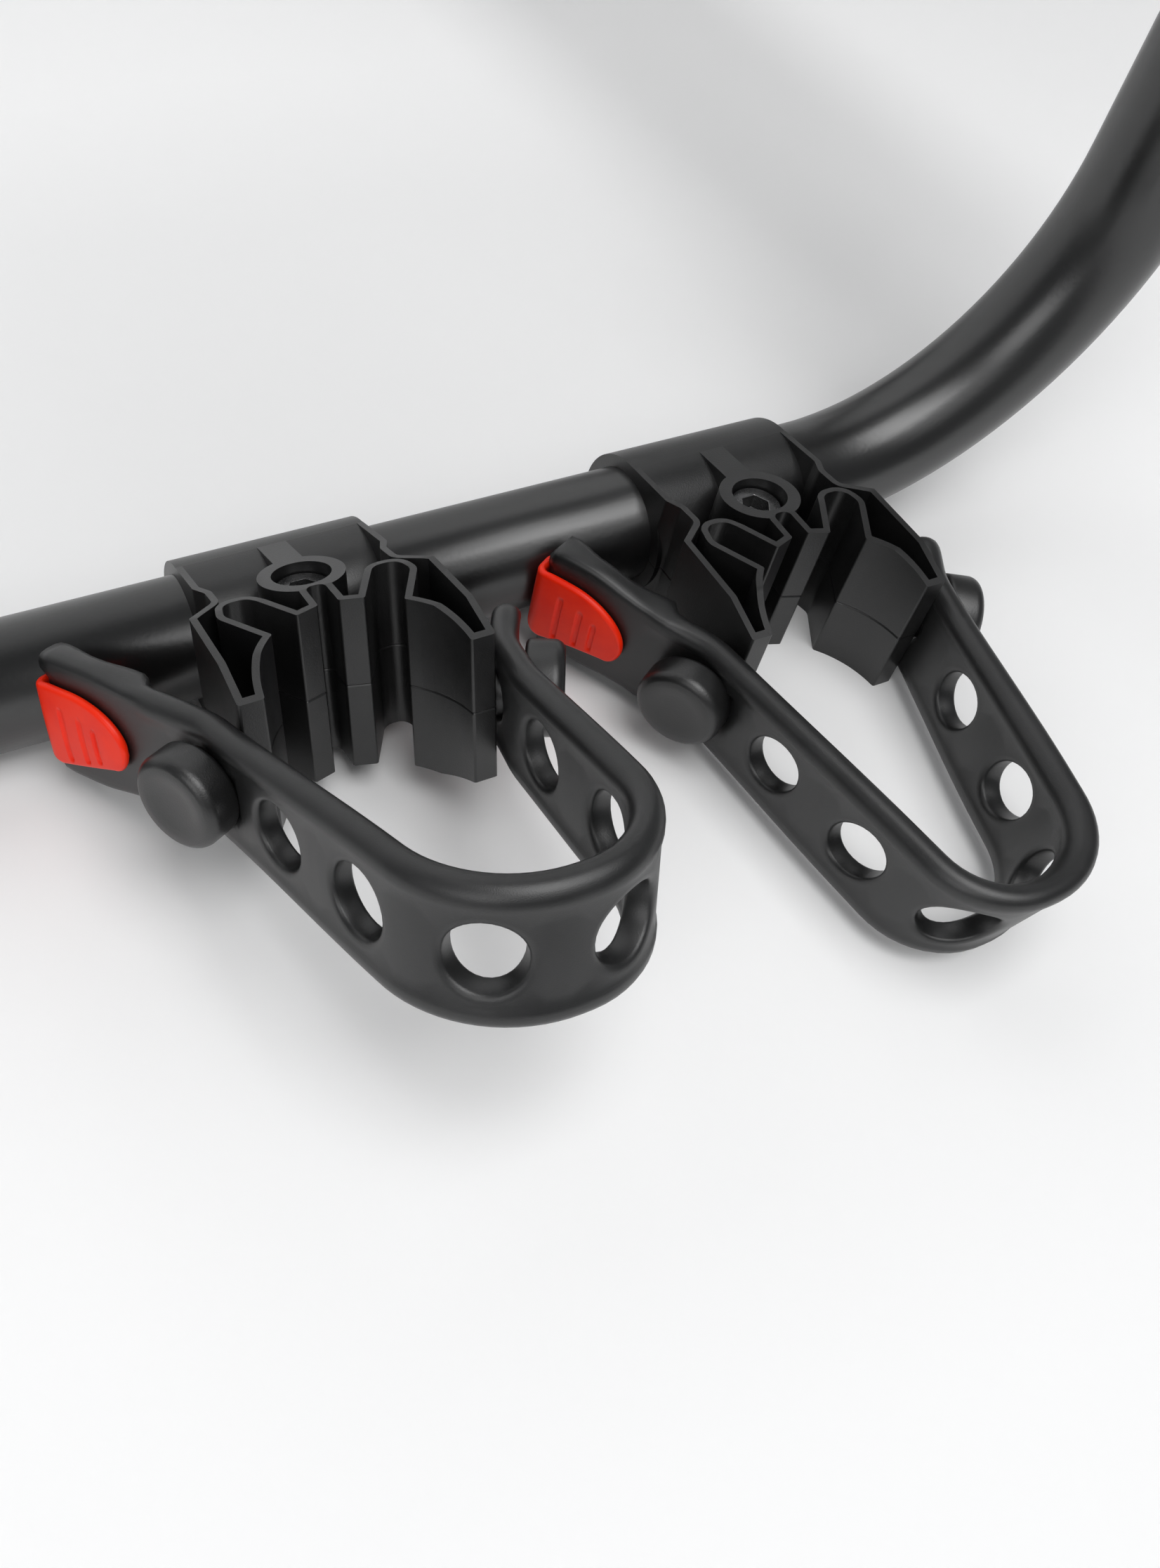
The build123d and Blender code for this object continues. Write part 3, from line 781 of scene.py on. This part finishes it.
@dataclass
class Strap:
    """The rubber strap over one cradle, with its thick edges, its holes and its free tab."""

    cradle: Cradle
    row: Row
    off_wall: float = 7.0 * MM
    bend: float = 25.0 * MM
    tail: float = 24.0 * MM
    tail_corner: float = 13.0 * MM
    tail_roll: float = 5.0 * MM
    half: float = 18.0 * MM
    web: float = 3.5 * MM
    bead: float = 4.0 * MM
    bead_rise: Pair = (11.6 * MM, 12.8 * MM)
    bead_roll: float = 4.0 * MM
    side_shift: float = 0.11
    twist_rise: Pair = (5.0 * MM, 75.0 * MM)
    holes: int = 8
    hole: float = 8.9 * MM
    rim: float = 2.0 * MM
    rim_depth: float = 1.3 * MM
    rings: tuple[float, ...] = (1.0, 0.6, 0.3, 0.1, 0.0, 0.0)
    cells: int = 12
    block_cells: float = 5.2
    block_half: float = 12.2 * MM
    # Offsets of the grid lines across, in millimetres, closer where the thick edge curves
    lines: tuple[float, ...] = (0.0, 3.0, 6.0, 9.0, 12.0, 12.7, 13.6, 14.2, 15.2, 16.4, 17.3, 17.8, 18.0)
    weld: float = 0.02 * MM
    under_shell: float = 3.4 * MM
    shell_half: float = 13.6 * MM
    shell_step: float = 0.6 * MM
    shell_run: Pair = (34.0 * MM, 42.0 * MM)
    tab_corner: float = 5.0 * MM
    tab_roll: float = 1.4 * MM
    tab_end_roll: float = 2.0 * MM
    roll_run: float = 8.0 * MM
    waist: float = 4.6 * MM
    nose_run: Pair = (4.0 * MM, 15.0 * MM)
    reach_width: float = 1.6 * MM
    reach_run: Pair = (1.0 * MM, 12.0 * MM)
    nub_height: float = 2.8 * MM
    nub_rise: Pair = (-15.0 * MM, -1.0 * MM)
    nub_step: Pair = (0.5 * MM, 3.0 * MM)
    thin_past_nub: float = 4.0 * MM
    wing: float = 2.2 * MM
    wing_run: Pair = (14.0 * MM, 34.0 * MM)
    sway_run: Pair = (10.0 * MM, 50.0 * MM)
    held_x: float = 28.0 * MM
    freed_x: float = -31.0 * MM
    stretch_z: float = 100.0 * MM
    path: FilletPath = field(init=False)
    pitch: float = field(init=False)
    step: float = field(init=False)

    def __post_init__(self) -> None:
        """Lay out the middle line, from the tab's end over the loop to the tail, and the holes' pitch."""
        cradle, out = self.cradle, self.off_wall
        begin = [cradle.peg_spot(-1, out, self.row.tab), cradle.peg_spot(-1, out)]
        finish = [cradle.peg_spot(1, out), cradle.peg_spot(1, out, self.tail)]
        corners = [(spot.x, spot.z) for spot in begin]
        corners += in_metres(tuple(place for place, _ in self.row.bends))
        corners += [(spot.x, spot.z) for spot in finish]
        loop = [radius * MM for _, radius in self.row.bends]
        self.path = FilletPath(corners, [self.bend, *loop, self.bend])
        self.pitch = (self.path.length - self.row.tab - self.tail) / (self.holes - 1)
        self.step = self.pitch / self.cells

    def build(self) -> bpy.types.Object:
        """Model the strap flat, with its holes, and bend it along its path.

        Returns:
            The strap.
        """
        name = self.cradle.name
        matrix = self.cradle.matrix()
        shape = self._flat_sheet()
        height = shape.verts.layers.float.new("height")
        for vert in shape.verts:
            vert[height] = 1.0
        for vert in self._cut_holes(shape):
            vert[height] = 0.0
        below = back_to_back(shape)
        for vert in shape.verts:
            u, v = vert.co.x, vert.co.y
            outer, inner = self._thickness(u, v)
            h = (-inner if vert in below else outer) * vert[height]
            spot, way = self.path.at(u)
            up = Vector((-way.z, 0.0, way.x))
            across = Vector((0.0, self._spread(u, v) + self.sideways(self.row.tab - u), 0.0))
            local = spot + up * h + across + self._twist(spot, v) - way * self._nose_reach(u, v)
            vert.co = matrix @ self.cradle.keep_clear(local)
        close_up(shape, self.weld)
        piece = add_piece(name + "_rubber_strap", shape, Finish.RUBBER)
        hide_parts(name + "_strap")
        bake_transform(piece)
        return piece

    def _flat_sheet(self) -> BMesh:
        """Make the flat sheet, with grid lines that suit the holes and the thick edges.

        Returns:
            The sheet, with X along the strap from the tab's end and Y across it.
        """
        first = self.row.tab - self.pitch / 2
        last = self.tail - self.pitch / 2
        lead = round(first / self.step)
        trail = max(2, round(last / self.step))
        along = [first * k / lead for k in range(lead)]
        along += [first + k * self.step for k in range(self.cells * self.holes)]
        along += [first + self.pitch * self.holes + last * k / trail for k in range(trail + 1)]
        count = len(along) - 1
        side = len(self.lines) - 1
        shape = bmesh.new()
        bmesh.ops.create_grid(shape, x_segments=count, y_segments=2 * side, size=1.0)
        for vert in shape.verts:
            i = round((vert.co.x + 1.0) / 2.0 * count)
            j = round(vert.co.y * side)
            vert.co = Vector((along[i], math.copysign(self.lines[abs(j)] * MM, j), 0.0))
        return shape

    def _cut_holes(self, shape: BMesh) -> set[BMVert]:
        """Open the round holes in the flat strap.

        Args:
            shape: the flat sheet.

        Returns:
            The vertices half way down the holes' walls.
        """
        middle: set[BMVert] = set()
        for k, creep in enumerate(self.row.creep):
            even = self.row.tab + k * self.pitch
            block_u = even + round(creep * MM / self.step) * self.step
            centre = Vector((even + creep * MM, 0.0, 0.0))
            block = [f for f in shape.faces if self._in_block(f.calc_center_median(), block_u)]
            bmesh.ops.delete(shape, geom=block, context="FACES")
            rims = [e for e in shape.edges if len(e.link_faces) == 1]
            loop = [e for e in rims if all(self._in_block(v.co, block_u) for v in e.verts)]
            for share in self.rings:
                verts, loop = grow(shape, loop)
                for vert in verts:
                    vert.co = centre + (vert.co - centre).normalized() * (self.hole + self.rim * share)
            middle.update(verts)
        return middle

    def _in_block(self, spot: Vector, block_u: float) -> bool:
        """Whether a point of the flat strap lies in the block of cells that a hole takes out."""
        return abs(spot.x - block_u) < self.block_cells * self.step and abs(spot.y) < self.block_half

    def _thickness(self, u: float, v: float) -> Pair:
        """Height of the strap's outer and inner faces over its middle line.

        Args:
            u: length from the tab's end.
            v: offset across.

        Returns:
            The two heights, both positive.
        """
        w, row = abs(v), self.row
        plain = self.web + (self.bead - self.web) * smoothstep(w, *self.bead_rise)
        under = 1.0 - smoothstep(u, *self.shell_run)
        outer = plain * (1 - under) + self.under_shell * under
        beside = smoothstep(w, self.shell_half, self.shell_half + self.shell_step)
        inner = plain + (self._tab_edge(u) - plain) * beside if u < row.tab else plain
        if u < row.nub + self.thin_past_nub:
            inner = inner * beside + min(inner, self.under_shell) * (1 - beside)
        past_nub = smoothstep(u, row.nub, row.nub + self.roll_run)
        fall = rounding(self.half - w, self.tab_roll + (self.bead_roll - self.tab_roll) * past_nub)
        fall *= rounding(u, self.tab_end_roll) * rounding(self.path.length - u, self.tail_roll)
        outer, inner = outer * fall, inner * fall
        k = round((u - row.tab) / self.pitch)
        if 0 <= k < self.holes:
            distance = math.hypot(u - row.tab - k * self.pitch - row.creep[k] * MM, v)
            drop = self.rim_depth * (1.0 - rounding(distance - self.hole, self.rim))
            outer, inner = outer - drop, inner - drop
        return outer, inner

    def sideways(self, along: float) -> float:
        """How far the free tab sways off the strap's line, by the length past the peg."""
        return self.row.sway * smoothstep(along, *self.sway_run)

    def _nose_reach(self, u: float, v: float) -> float:
        """How much further the rubber beside the red shell reaches past its end."""
        beside = smoothstep(abs(v), self.shell_half, self.shell_half + self.reach_width)
        return self.row.nose_reach * beside * (1.0 - smoothstep(u, *self.reach_run))

    def _tab_edge(self, u: float) -> float:
        """Depth of the pull tab's thick inner edge: a nose, a waist and a nub with a step.

        Args:
            u: length from the tab's end.

        Returns:
            The depth under the middle line.
        """
        nose = (self.row.nose - self.waist) * (1.0 - smoothstep(u, *self.nose_run))
        nub = self.nub_height * smoothstep(u - self.row.nub, *self.nub_rise)
        past = smoothstep(u - self.row.nub, *self.nub_step)
        return (self.waist + nose + nub) * (1.0 - past) + self.bead * past

    def _spread(self, u: float, v: float) -> float:
        """Offset across of a point, with the ends rounded off and the tab's wings let out.

        Args:
            u: length from the tab's end.
            v: offset across on the flat strap.

        Returns:
            The offset across on the bent strap.
        """
        share = 1.0
        for near, corner in ((u, self.tab_corner), (self.path.length - u, self.tail_corner)):
            share = min(share, 1.0 - corner * (1.0 - rounding(near, corner)) / self.half)
        wing = self.wing * smoothstep(abs(v), self.shell_half, self.half)
        wing *= 1.0 - smoothstep(u, *self.wing_run)
        return v * share + math.copysign(wing, v)

    def _twist(self, spot: Vector, v: float) -> Vector:
        """How the hanging loop is turned a little out of square, more towards its crown.

        Args:
            spot: point of the middle line.
            v: offset across.

        Returns:
            The shift of the strap's edge.
        """
        share = smoothstep(spot.z - self.cradle.foot_z, *self.twist_rise)
        return Vector((v * self.side_shift * share, 0.0, v * self.row.crown_slope * share))


@dataclass
class PullTab:
    """The red shell: a leaf of plastic that folds round the strap's free end."""

    strap: Strap
    clear: float = 0.3 * MM
    thick: float = 1.25 * MM
    face: float = 5.0 * MM
    length: float = 34.0 * MM
    fold: float = 3.4 * MM
    lip: float = 12.0 * MM
    axis: float = -1.0 * MM
    top: float = 12.2 * MM
    top_reach: float = 20.0 * MM
    low: float = 8.8 * MM
    low_reach: float = 5.6 * MM
    low_slope: float = 0.26
    wall_half: float = 11.2 * MM
    corner_run: Pair = (-7.0 * MM, 2.0 * MM)
    crown: float = 0.5 * MM
    crown_rise: float = 8.0 * MM
    crown_end: float = 6.0 * MM
    # The grip grooves as place along, middle across and half length, in millimetres
    grooves: tuple[Triple, ...] = ((10.4, -2.2, 4.6), (15.6, -2.2, 6.4), (22.8, -2.6, 7.8))
    groove_half: float = 1.1 * MM
    groove_floor: float = 0.66 * MM
    groove_depth: float = 0.7 * MM
    rows: int = 44
    nose_run: float = 6.0 * MM
    nose_rows: int = 18
    row_step: float = 0.3 * MM
    rim_rows: int = 5
    probe: float = 0.05 * MM
    narrowest: float = 1.0 * MM
    weld: float = 0.01 * MM

    def build(self) -> bpy.types.Object:
        """Fold a leaf shaped sheet round the strap's end.

        Returns:
            The shell.
        """
        cradle = self.strap.cradle
        end = self.strap.row.tab + self.clear + self.thick
        nose = end + self.thick - self.length
        corners = []
        for along, side in ((nose, 1), (end, 1), (end, -1), (end - self.lip, -1)):
            spot = cradle.peg_spot(-1, self.strap.off_wall + side * self.face, along)
            corners.append((spot.x, spot.z))
        path = FilletPath(corners, [self.fold, self.fold])
        stations = self._stations(path.length)
        columns = len(stations) - 1
        shape = bmesh.new()
        bmesh.ops.create_grid(shape, x_segments=columns, y_segments=self.rows, size=1.0)
        below = back_to_back(shape)
        matrix = cradle.matrix()
        for vert in shape.verts:
            s = stations[round((vert.co.x + 1.0) / 2.0 * columns)]
            share = (math.sin(vert.co.y * math.pi / 2) + 1.0) / 2.0
            low, high = self._edges(s)
            y = low + (high - low) * share
            spot, way = path.at(s)
            out = Vector((way.z, 0.0, -way.x))
            depth = self.thick * self._fall(s, y, path.length)
            h = -depth if vert in below else depth + self._relief(s, y)
            sway = self.strap.sideways(min(nose + s, end))
            vert.co = matrix @ (spot + out * h + Vector((0.0, y + sway, 0.0)))
        close_up(shape, self.weld)
        piece = add_piece(cradle.name + "_red_shell", shape, Finish.RED)
        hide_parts(cradle.name + "_pull_tab")
        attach(piece, "tab_" + cradle.name)
        return piece

    def _stations(self, length: float) -> list[float]:
        """Lengths from the nose where the sheet has a row of vertices, closer where it curves.

        Args:
            length: the sheet's whole length.

        Returns:
            The lengths.
        """
        quarter = math.pi / 2
        nose = range(self.nose_rows)
        places = [self.nose_run * (1.0 - math.cos(quarter * k / self.nose_rows)) for k in nose]
        plain = length - self.thick - self.nose_run
        count = round(plain / self.row_step)
        places += [self.nose_run + plain * k / count for k in range(count)]
        rim = range(self.rim_rows + 1)
        places += [length - self.thick * (1.0 - math.sin(quarter * k / self.rim_rows)) for k in rim]
        return places

    def _edges(self, s: float) -> Pair:
        """Lower and upper edge of the leaf.

        Args:
            s: length from its nose.

        Returns:
            The two offsets across.
        """
        high = self.axis + (self.top - self.axis) * rounding(s, self.top_reach)
        low = self.axis - (self.low + self.axis) * rounding(s, self.low_reach)
        low -= max(0.0, s - self.low_reach) * self.low_slope
        corner = smoothstep(s - self.length, *self.corner_run)
        return low + (-self.wall_half - low) * corner, high + (self.wall_half - high) * corner

    def _fall(self, s: float, y: float, length: float) -> float:
        """Share of the full thickness at a point, for the rounded rim.

        Args:
            s: length from the nose.
            y: offset across.
            length: the sheet's whole length.

        Returns:
            0 at the rim, and 1 a wall's thickness inside it.
        """
        low, high = self._edges(s)
        low_after, high_after = self._edges(s + self.probe)
        steep_low = math.hypot(1.0, (low_after - low) / self.probe)
        steep_high = math.hypot(1.0, (high_after - high) / self.probe)
        return rounding(min((y - low) / steep_low, (high - y) / steep_high, s, length - s), self.thick)

    def _relief(self, s: float, y: float) -> float:
        """Swell of the crowned outer face, less its grip grooves.

        Args:
            s: length from the nose.
            y: offset across.

        Returns:
            The height over the plain face.
        """
        low, high = self._edges(s)
        across = (2.0 * y - low - high) / max(high - low, self.narrowest)
        swell = self.crown * (1.0 - across ** 2) * smoothstep(s, 0.0, self.crown_rise)
        swell *= 1.0 - smoothstep(s, self.length - self.crown_end, self.length)
        cut = 0.0
        for along, middle, half in self.grooves:
            off = max(0.0, abs(y - middle * MM) - half * MM)
            away = math.hypot(s - along * MM, off)
            cut = max(cut, 1.0 - smoothstep(away, self.groove_floor, self.groove_half))
        return swell - cut * self.groove_depth


@dataclass
class CarryingTube:
    """The bent tube that makes both arms."""

    node: str = "carrying_tube"
    radius: float = 19.0 * MM
    wall: float = 2.0 * MM
    bend: float = 101.0 * MM
    around: int = 72
    bend_steps: int = 28

    def build(self) -> bpy.types.Object:
        """Extrude and spin the tube along its way.

        Returns:
            The tube.
        """
        low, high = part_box(self.node)
        z = (low.z + high.z) / 2
        arm_y = high.y - self.radius
        bend_x = high.x - self.radius - self.bend
        arm = Vector((bend_x - low.x, 0, 0))
        shape = bmesh.new()
        place = Matrix.Translation((low.x, -arm_y, z)) @ Matrix.Rotation(math.radians(90), 4, "Y")
        bmesh.ops.create_circle(shape, cap_ends=False, radius=self.radius, segments=self.around, matrix=place)
        loop = self._extrude(shape, shape.edges[:], arm)
        loop = self._turn(shape, loop, Vector((bend_x, self.bend - arm_y, z)))
        loop = self._extrude(shape, loop, Vector((0, 2 * (arm_y - self.bend), 0)))
        loop = self._turn(shape, loop, Vector((bend_x, arm_y - self.bend, z)))
        self._extrude(shape, loop, -arm)
        bmesh.ops.recalc_face_normals(shape, faces=shape.faces)
        piece = add_piece("bent_carrying_tube", shape, Finish.STEEL)
        wall = piece.modifiers.new("wall", "SOLIDIFY")
        wall.thickness = self.wall
        wall.offset = -1.0
        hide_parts(self.node)
        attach(piece, "arms")
        return piece

    @staticmethod
    def _extrude(shape: BMesh, loop: list, move: Vector) -> list:
        """Extrude an edge loop straight.

        Args:
            shape: the bmesh.
            loop: the loop's edges.
            move: how far and which way.

        Returns:
            The new loop's edges.
        """
        verts, loop = grow(shape, loop)
        bmesh.ops.translate(shape, verts=verts, vec=move)
        return loop

    def _turn(self, shape: BMesh, loop: list, centre: Vector) -> list:
        """Spin an edge loop a quarter turn about a vertical axis.

        Args:
            shape: the bmesh.
            loop: the loop's edges.
            centre: a point of the axis.

        Returns:
            The last loop's edges.
        """
        spun = bmesh.ops.spin(shape, geom=loop, cent=centre, axis=(0, 0, 1), angle=math.radians(90),
                              steps=self.bend_steps, use_duplicate=False)
        return [g for g in spun["geom_last"] if isinstance(g, BMEdge)]


@dataclass
class Hardware:
    """The mast, shank, plates, bolts, caps and knobs."""

    steel: tuple[str, ...] = ("mast_tube", "shank_tube", "base_plates", "head_plates")
    steel_edge: float = 0.8 * MM
    caps: tuple[str, ...] = ("mast_cap", "shank_cap", "arm_end_caps")
    cap_edge: float = 0.6 * MM
    knobs: tuple[str, ...] = ("tilt_knob", "fold_knob")
    knob_edge: float = 1.2 * MM
    round_segments: int = 3
    hitch_kit: tuple[str, ...] = ("hitch_bolt", "hitch_washer", "hitch_lock_washer", "hitch_nut")
    pivot_kit: tuple[str, ...] = (
        "pivot_bolt", "pivot_nut", "pivot_washers", "bush", "clamp_bolt", "clamp_washers")
    kit_edge: float = 0.35 * MM

    def build(self) -> None:
        """Soften every piece of the frame and dress it."""
        for node in self.steel:
            SoftenedNode(node, Finish.STEEL, self.steel_edge, self.round_segments).build()
        for node in self.caps:
            SoftenedNode(node, Finish.CAP, self.cap_edge, self.round_segments).build()
        for node in self.knobs:
            SoftenedNode(node, Finish.KNOB, self.knob_edge, self.round_segments).build()
        pivots = [f"{end}_{part}" for end in ("tilt", "fold") for part in self.pivot_kit]
        for node in (*self.hitch_kit, *pivots):
            SoftenedNode(node, Finish.ZINC, self.kit_edge).build()


@dataclass(frozen=True)
class Lamp:
    """A square area light, in metres and watts."""

    name: str
    spot: Triple
    side: float
    watts: float

    def build(self, target: Vector) -> None:
        """Hang the light.

        Args:
            target: where it points.
        """
        data = bpy.data.lights.new(self.name, "AREA")
        data.energy = self.watts
        data.size = self.side
        spot = Vector(self.spot)
        turn = (target - spot).to_track_quat("-Z", "Y").to_matrix().to_4x4()
        light = bpy.data.objects.new(self.name, data)
        light.matrix_world = Matrix.Translation(spot) @ turn
        bpy.context.scene.collection.objects.link(light)


@dataclass
class Studio:
    """Backdrop, floor, lights and camera, in metres."""

    paper_y: float = -0.213
    paper_z: float = 1.97
    paper_half: float = 2.0
    floor_x: float = -0.3
    floor_z: float = -0.031
    floor_half: float = 2.5
    paper_colour: Colour = (0.92, 0.92, 0.92)
    aim: Triple = (-0.5, -0.15, 0.75)
    lamps: tuple[Lamp, ...] = (
        Lamp("softbox", (-0.35, 1.6, 1.2), 1.3, 23.0),
        Lamp("top_lamp", (-0.5, 1.3, 2.0), 1.2, 4.0),
        Lamp("side_fill", (-1.7, 0.9, 1.7), 1.0, 7.0),
        Lamp("rear_fill", (0.6, -1.9, 1.6), 1.4, 8.0),
    )
    room_colour: Colour = (0.95, 0.97, 1.0)
    room_strength: float = 0.17
    seen_colour: Colour = (0.93, 0.93, 0.935)
    seen_strength: float = 1.0
    focal_px: float = 1801.2
    frame_w_px: float = 1652.0
    frame_h_px: float = 2233.0
    axis_px: Pair = (554.1, 1003.6)
    sensor_mm: float = 36.0
    near_clip: float = 0.01
    eye_from_rear: Triple = (-0.09156, 0.28447, 0.25319)
    look: Triple = (0.2947, -0.7719, -0.5633)
    right: Triple = (0.9167, 0.0620, 0.3947)

    def paper(self) -> bpy.types.Material:
        """White paper that is clear from behind.

        Returns:
            The material.
        """
        graph = Graph("paper")
        diffuse = graph.node("ShaderNodeBsdfDiffuse", None, {"Color": (*self.paper_colour, 1.0)})
        clear = graph.node("ShaderNodeBsdfTransparent")
        back = graph.node("ShaderNodeNewGeometry", output="Backfacing")
        return graph.surface(graph.node("ShaderNodeMixShader", None, {0: back, 1: diffuse, 2: clear}))

    def sheet(self, name: str, matrix: Matrix, half: float, material: bpy.types.Material) -> None:
        """Add a flat stage sheet that faces its own +Z.

        Args:
            name: the sheet's name.
            matrix: its place.
            half: half its side.
            material: what it is made of.
        """
        shape = bmesh.new()
        bmesh.ops.create_grid(shape, x_segments=1, y_segments=1, size=half, matrix=matrix)
        mesh = bpy.data.meshes.new(name)
        shape.to_mesh(mesh)
        shape.free()
        mesh.materials.append(material)
        piece = bpy.data.objects.new(name, mesh)
        bpy.context.scene.collection.objects.link(piece)

    def world(self) -> None:
        """Pale surroundings, white to the camera."""
        scene = bpy.context.scene
        scene.world = bpy.data.worlds.new("studio")
        scene.world.use_nodes = True
        tree = scene.world.node_tree
        tree.nodes.clear()
        rays = tree.nodes.new("ShaderNodeLightPath")
        mixed = tree.nodes.new("ShaderNodeMixShader")
        out = tree.nodes.new("ShaderNodeOutputWorld")
        tree.links.new(rays.outputs["Is Camera Ray"], mixed.inputs[0])
        kinds = ((self.room_colour, self.room_strength), (self.seen_colour, self.seen_strength))
        for socket, (colour, strength) in zip(mixed.inputs[1:], kinds):
            background = tree.nodes.new("ShaderNodeBackground")
            background.inputs["Color"].default_value = (*colour, 1.0)
            background.inputs["Strength"].default_value = strength
            tree.links.new(background.outputs[0], socket)
        tree.links.new(mixed.outputs[0], out.inputs["Surface"])

    def camera(self) -> None:
        """Place the camera at the photograph's viewing angle, beside the rear right cradle."""
        rear = Vector(Cradle("rear_right").joint("_swivel")["pos_m"])
        data = bpy.data.cameras.new("camera")
        data.sensor_width = self.sensor_mm
        data.lens = self.focal_px * self.sensor_mm / self.frame_h_px
        data.shift_x = (self.frame_w_px / 2 - self.axis_px[0]) / self.frame_h_px
        data.shift_y = (self.axis_px[1] - self.frame_h_px / 2) / self.frame_h_px
        data.clip_start = self.near_clip
        back = -Vector(self.look).normalized()
        side = Vector(self.right).normalized()
        up = back.cross(side).normalized()
        side = up.cross(back)
        matrix = Matrix((side, up, back)).transposed().to_4x4()
        matrix.translation = rear + Vector(self.eye_from_rear)
        eye = bpy.data.objects.new("camera", data)
        eye.matrix_world = matrix
        bpy.context.scene.collection.objects.link(eye)
        bpy.context.scene.camera = eye

    def build(self) -> None:
        """Set up everything round the rack."""
        bpy.context.scene.view_settings.view_transform = "Standard"
        paper = self.paper()
        upright = Matrix.Rotation(math.radians(-90), 4, "X")
        wall = Matrix.Translation((0.0, self.paper_y, self.paper_z)) @ upright
        self.sheet("backdrop", wall, self.paper_half, paper)
        self.sheet("floor", Matrix.Translation((self.floor_x, 0.0, self.floor_z)), self.floor_half, paper)
        for lamp in self.lamps:
            lamp.build(Vector(self.aim))
        self.world()
        self.camera()


FRONT = Row(
    name="front",
    bends=(((-26.5, 168.8), 20.0), ((15.1, 168.8), 28.0), ((34.9, 92.0), 40.0)),
    creep=(0.0, 2.0, 2.2, -0.5, -2.5, -4.0, -3.7, 0.0),
    crown_slope=0.19,
    tab=55.5 * MM,
    sway=3.0 * MM,
    nose=8.0 * MM,
    nose_reach=0.8 * MM,
    nub=39.0 * MM,
)
REAR = Row(
    name="rear",
    bends=(((-15.0, 162.0), 34.0), ((37.7, 162.0), 25.0), ((38.2, 87.0), 30.0)),
    creep=(0.0, -0.5, -2.0, -1.5, -2.0, -1.5, 0.0, 0.0),
    crown_slope=-0.145,
    tab=59.3 * MM,
    sway=-1.0 * MM,
    nose=6.0 * MM,
    nose_reach=2.8 * MM,
    nub=31.0 * MM,
)


def main() -> None:
    """Build the rack's looks round the frame."""
    logging.basicConfig(level=logging.INFO)
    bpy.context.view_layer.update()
    Studio().build()
    LOG.info("studio ready")
    CarryingTube().build()
    LOG.info("carrying tube built")
    Hardware().build()
    LOG.info("hardware built")
    for side in ("right", "left"):
        for row in (FRONT, REAR):
            cradle = Cradle(f"{row.name}_{side}")
            cradle.build()
            LOG.info("%s cradle built", cradle.name)
            strap = Strap(cradle, row)
            strap.build()
            LOG.info("%s strap built", cradle.name)
            PullTab(strap).build()
            LOG.info("%s pull tab built", cradle.name)


if __name__ == "__main__":
    main()
